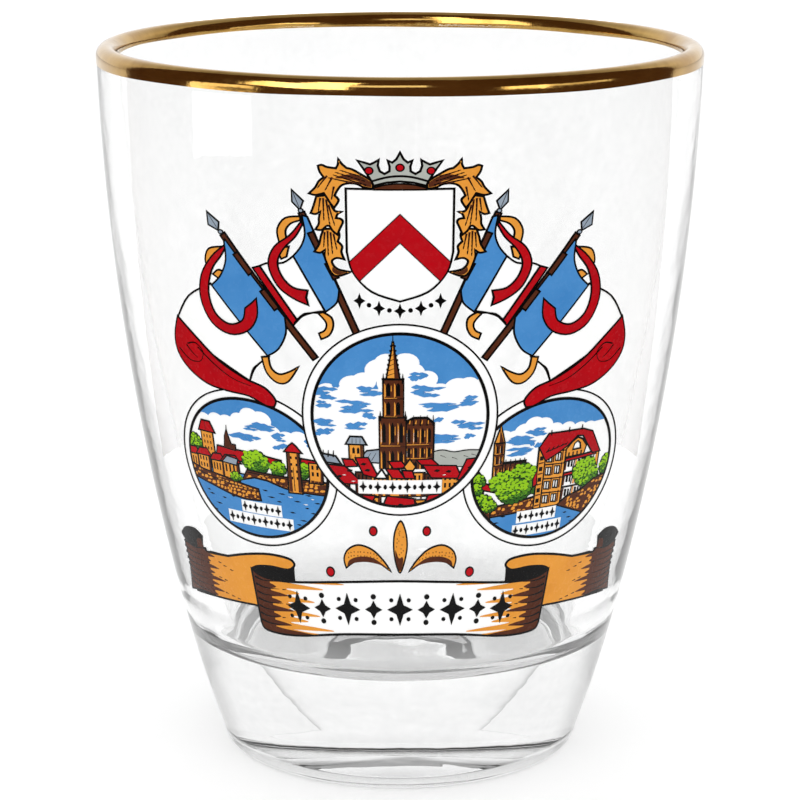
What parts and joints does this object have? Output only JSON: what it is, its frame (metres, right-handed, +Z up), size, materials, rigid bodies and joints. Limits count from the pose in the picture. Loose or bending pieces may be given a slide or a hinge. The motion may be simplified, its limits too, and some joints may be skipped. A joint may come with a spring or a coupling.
{
  "type": "shot glass",
  "caption": "Flared shot glass with a heavy clear base, a gold lip band and a fired enamel picture panel round the front.",
  "frame": {"origin": "centre of the foot ring, on the plane the glass stands on", "axes": "+Z up along the glass's axis, -Y towards the middle of the decoration, +X to the right of it as seen"},
  "size_m": [0.05, 0.05, 0.06],
  "materials": {
    "clear_glass": "clear fire-polished soda-lime glass",
    "bright_gold": "fired bright gold film, mirror bright",
    "white_enamel": "opaque white ceramic enamel, fired gloss",
    "black_enamel": "black line print, fired gloss",
    "blue_enamel": "mid blue ceramic enamel, fired gloss",
    "red_enamel": "signal red ceramic enamel, fired gloss",
    "ochre_enamel": "warm ochre ceramic enamel, fired gloss",
    "brown_enamel": "dark brown ceramic enamel, fired gloss",
    "green_enamel": "leaf green ceramic enamel, fired gloss",
    "grey_enamel": "light grey ceramic enamel, fired gloss"
  },
  "bodies": {
    "root": {"glass_body": "clear_glass", "gold_rim_band": "bright_gold", "white_underprint": "white_enamel", "line_print": "black_enamel", "sky_print": "blue_enamel", "water_print": "blue_enamel", "flag_blue_print": "blue_enamel", "roof_print": "red_enamel", "flag_red_print": "red_enamel", "ribbon_red_print": "red_enamel", "shield_chevron_print": "red_enamel", "jewel_print": "red_enamel", "accent_dot_print": "red_enamel", "town_wall_print": "ochre_enamel", "church_stone_print": "ochre_enamel", "leaf_print": "ochre_enamel", "ribbon_gold_print": "ochre_enamel", "scroll_fold_print": "ochre_enamel", "scroll_shade_print": "ochre_enamel", "fleuron_print": "ochre_enamel", "quay_wall_print": "brown_enamel", "pole_print": "brown_enamel", "crown_cap_print": "brown_enamel", "scroll_end_print": "brown_enamel", "tree_print": "green_enamel", "hill_print": "grey_enamel", "turret_roof_print": "grey_enamel", "crown_print": "grey_enamel", "spearhead_print": "grey_enamel"}
  },
  "joints": []
}
